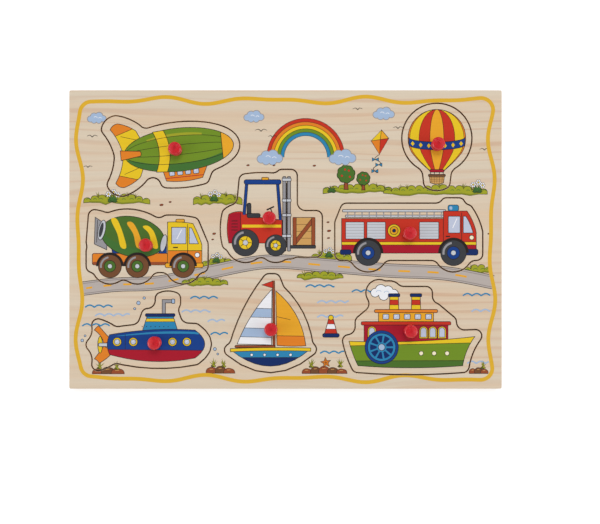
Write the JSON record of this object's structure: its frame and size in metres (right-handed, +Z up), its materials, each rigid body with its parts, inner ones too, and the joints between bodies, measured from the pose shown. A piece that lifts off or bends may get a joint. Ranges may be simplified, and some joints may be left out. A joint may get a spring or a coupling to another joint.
{
  "type": "peg puzzle",
  "caption": "Flat wooden inset puzzle: a printed board with sawn-out picture pieces lying in matching recesses, each lifted by a small red knob.",
  "frame": {"origin": "middle of the board's underside", "axes": "+X along the board's long side to the picture's right, +Y towards the picture's top, +Z up out of the printed face"},
  "size_m": [0.3, 0.207, 0.0155],
  "materials": {
    "front_wood": "satin",
    "backing_wood": "matte",
    "piece_wood": "satin",
    "knob_plastic": "gloss",
    "screw_steel": "satin"
  },
  "bodies": {
    "tray": {"front_board": "front_wood", "backing_board": "backing_wood"},
    "airship": {"piece_airship": "piece_wood", "knob_airship": "knob_plastic", "screw_airship": "screw_steel"},
    "balloon": {"piece_balloon": "piece_wood", "knob_balloon": "knob_plastic", "screw_balloon": "screw_steel"},
    "mixer": {"piece_mixer": "piece_wood", "knob_mixer": "knob_plastic", "screw_mixer": "screw_steel"},
    "forklift": {"piece_forklift": "piece_wood", "knob_forklift": "knob_plastic", "screw_forklift": "screw_steel"},
    "fire_engine": {"piece_fire_engine": "piece_wood", "knob_fire_engine": "knob_plastic", "screw_fire_engine": "screw_steel"},
    "submarine": {"piece_submarine": "piece_wood", "knob_submarine": "knob_plastic", "screw_submarine": "screw_steel"},
    "sailboat": {"piece_sailboat": "piece_wood", "knob_sailboat": "knob_plastic", "screw_sailboat": "screw_steel"},
    "steamboat": {"piece_steamboat": "piece_wood", "knob_steamboat": "knob_plastic", "screw_steamboat": "screw_steel"}
  },
  "joints": [
    {"name": "airship_lift", "type": "slide", "parent": "tray", "child": "airship", "axis": [0, 0, 1], "range_m": [0, 0.025]},
    {"name": "balloon_lift", "type": "slide", "parent": "tray", "child": "balloon", "axis": [0, 0, 1], "range_m": [0, 0.025]},
    {"name": "mixer_lift", "type": "slide", "parent": "tray", "child": "mixer", "axis": [0, 0, 1], "range_m": [0, 0.025]},
    {"name": "forklift_lift", "type": "slide", "parent": "tray", "child": "forklift", "axis": [0, 0, 1], "range_m": [0, 0.025]},
    {"name": "fire_engine_lift", "type": "slide", "parent": "tray", "child": "fire_engine", "axis": [0, 0, 1], "range_m": [0, 0.025]},
    {"name": "submarine_lift", "type": "slide", "parent": "tray", "child": "submarine", "axis": [0, 0, 1], "range_m": [0, 0.025]},
    {"name": "sailboat_lift", "type": "slide", "parent": "tray", "child": "sailboat", "axis": [0, 0, 1], "range_m": [0, 0.025]},
    {"name": "steamboat_lift", "type": "slide", "parent": "tray", "child": "steamboat", "axis": [0, 0, 1], "range_m": [0, 0.025]}
  ]
}
